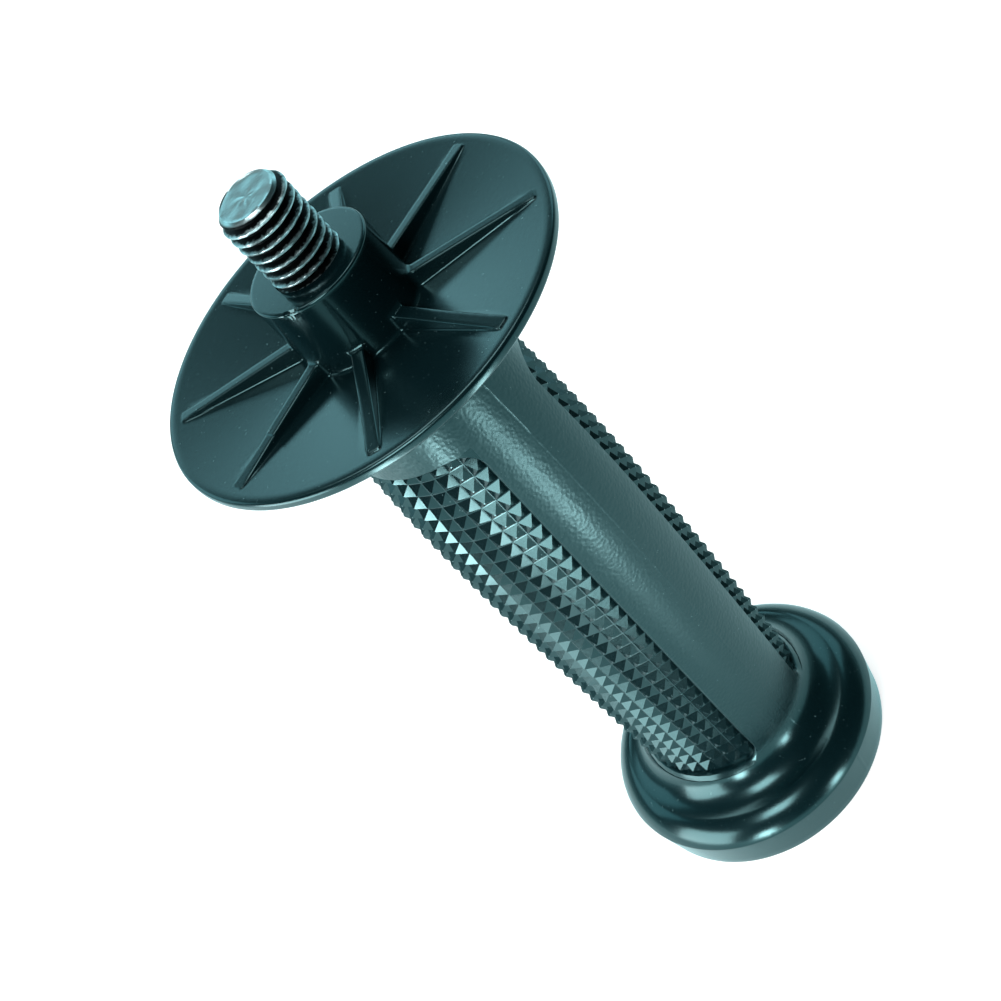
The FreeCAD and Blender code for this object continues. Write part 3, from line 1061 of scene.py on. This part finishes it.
# %% The room around the floor
ROOM_GLOW = 0.04
HORIZON_GLOW = 0.6
UPPER_GLOW = 0.07
HORIZON_TOP, UPPER_FROM = 0.08, 0.26
BACKDROP_AZIMUTH = math.radians(65.0)
BACKDROP_FROM, BACKDROP_FULL = -0.1, 0.45
world = bpy.data.worlds.new("studio")
bpy.context.scene.world = world
world.use_nodes = True
tree = world.node_tree
tree.nodes.clear()
seen, mirrored = ray_kinds(tree)
direction = add(tree, "ShaderNodeTexCoord").outputs["Generated"]
direction_parts = add(tree, "ShaderNodeSeparateXYZ", {0: direction})
by_height = add(
    tree,
    "ShaderNodeMapRange",
    {
        0: direction_parts.outputs[2],
        1: HORIZON_TOP,
        2: UPPER_FROM,
        3: HORIZON_GLOW,
        4: UPPER_GLOW,
    },
)
behind = add(
    tree,
    "ShaderNodeVectorMath",
    {0: direction, 1: (math.cos(BACKDROP_AZIMUTH), math.sin(BACKDROP_AZIMUTH), 0)},
    operation="DOT_PRODUCT",
)
behind = add(
    tree,
    "ShaderNodeMapRange",
    {0: behind.outputs["Value"], 1: BACKDROP_FROM, 2: BACKDROP_FULL, 3: 0.0, 4: 1.0},
)
backdrop = add(
    tree, "ShaderNodeMath", {0: by_height.outputs[0], 1: behind.outputs[0]}, operation="MULTIPLY"
)
strength = add(
    tree,
    "ShaderNodeMath",
    {0: mirrored, 1: backdrop.outputs[0], 2: ROOM_GLOW},
    operation="MULTIPLY_ADD",
)
strength = add(tree, "ShaderNodeMath", {0: strength.outputs[0], 1: seen}, operation="MAXIMUM")
room_colour = add(tree, "ShaderNodeMix", {0: seen, 6: COOL, 7: WHITE}, data_type="RGBA")
room = add(
    tree,
    "ShaderNodeBackground",
    {"Color": room_colour.outputs[2], "Strength": strength.outputs[0]},
)
add(tree, "ShaderNodeOutputWorld", {"Surface": room.outputs[0]})
print("room glow %.2f, horizon %.1f" % (ROOM_GLOW, HORIZON_GLOW))

# %% [markdown]
# ## Camera
# The camera looks down at the handle from 31 degrees above the guard disc and is turned
# about its own axis, so the handle lies across the picture with its stud at the top left.

# %% Camera
CAMERA_AZIMUTH = -115.0
CAMERA_OUT = 192.93
CAMERA_HEIGHT = 230.03
AIM_LEFT = 3.185
AIM_HEIGHT = 74.28
CAMERA_TURN = -43.897
CAMERA_LENS = 64.714
SENSOR_WIDTH = 36.0


def around_axis(degrees, out, height):
    """A point in metres at an angle, a distance from the axis and a height in millimetres."""
    angle = math.radians(degrees)
    return Vector((out * math.cos(angle), out * math.sin(angle), height)) * MM


eye = around_axis(CAMERA_AZIMUTH, CAMERA_OUT, CAMERA_HEIGHT)
aim = around_axis(CAMERA_AZIMUTH - 90, AIM_LEFT, AIM_HEIGHT)
camera_data = bpy.data.cameras.new("camera")
camera_data.lens = CAMERA_LENS
camera_data.sensor_width = SENSOR_WIDTH
camera_data.clip_start = 0.01
camera = bpy.data.objects.new("camera", camera_data)
bpy.context.collection.objects.link(camera)
camera.location = eye
looking = (aim - eye).to_track_quat("-Z", "Y").to_matrix().to_4x4()
turned = looking @ Matrix.Rotation(math.radians(CAMERA_TURN), 4, "Z")
camera.rotation_euler = turned.to_euler()
bpy.context.scene.camera = camera
print("camera at", [round(v, 3) for v in eye])

# %% [markdown]
# ## Lights
# Every light is a soft panel, and each has one task. The key light hangs high and throws
# the shadow towards the viewer. Two low panels behind the handle skim over the dish, so
# that its ribs cast shadows, and two wide ones light its sides. A card at the left lifts
# the grip's shaded side, and one above the camera's left shows the pyramids' faces. The
# small strips lie close to the ground and shine up the handle: they put long highlights
# on the land and the knob, which upright strips would repeat on the knob's shoulder.

# %% Soft lights
LIGHT_TINT = (0.94, 1.0, 1.01)
BACK_TINT = (0.5, 0.96, 1.06)
# Name, azimuth from the camera's side, distance out, height, height that it faces on the
# axis, width and length of the panel, power in watts, tint.
LIGHTS = (
    ("key light", 180, 200, 720, 110, 420, 300, 2.0, LIGHT_TINT),
    ("low back light", 180, 450, 296, 112, 340, 60, 0.2, BACK_TINT),
    ("upper back light", 180, 450, 362, 112, 340, 60, 0.09, BACK_TINT),
    ("left back light", -135, 450, 300, 60, 300, 260, 0.42, BACK_TINT),
    ("right back light", 135, 450, 300, 60, 300, 260, 0.42, BACK_TINT),
    ("left side card", -80, 300, 90, 70, 200, 200, 1.2, LIGHT_TINT),
    ("front upper card", -30, 215, 302, 65, 115, 115, 0.6, LIGHT_TINT),
    ("left ground strip", -37, 130, 18, 235, 22, 66, 0.13, LIGHT_TINT),
    ("right ground strip", 20, 130, 18, 235, 20, 66, 0.085, LIGHT_TINT),
    ("left near strip", -34, 64, 5, 120, 14, 46, 0.01, LIGHT_TINT),
    ("right near strip", 16, 64, 5, 120, 14, 46, 0.003, LIGHT_TINT),
)
for name, azimuth, out, height, aim_height, width, length, power, tint in LIGHTS:
    data = bpy.data.lights.new(name, "AREA")
    data.shape = "RECTANGLE"
    data.size = width * MM
    data.size_y = length * MM
    data.energy = power
    data.color = tint
    lamp = bpy.data.objects.new(name, data)
    bpy.context.collection.objects.link(lamp)
    lamp.location = around_axis(CAMERA_AZIMUTH + azimuth, out, height)
    target = Vector((0, 0, aim_height * MM))
    lamp.rotation_euler = (target - lamp.location).to_track_quat("-Z", "Y").to_euler()
    lamp.visible_camera = False

# %% Finish
bpy.context.scene.view_settings.view_transform = "Standard"
bpy.context.view_layer.update()
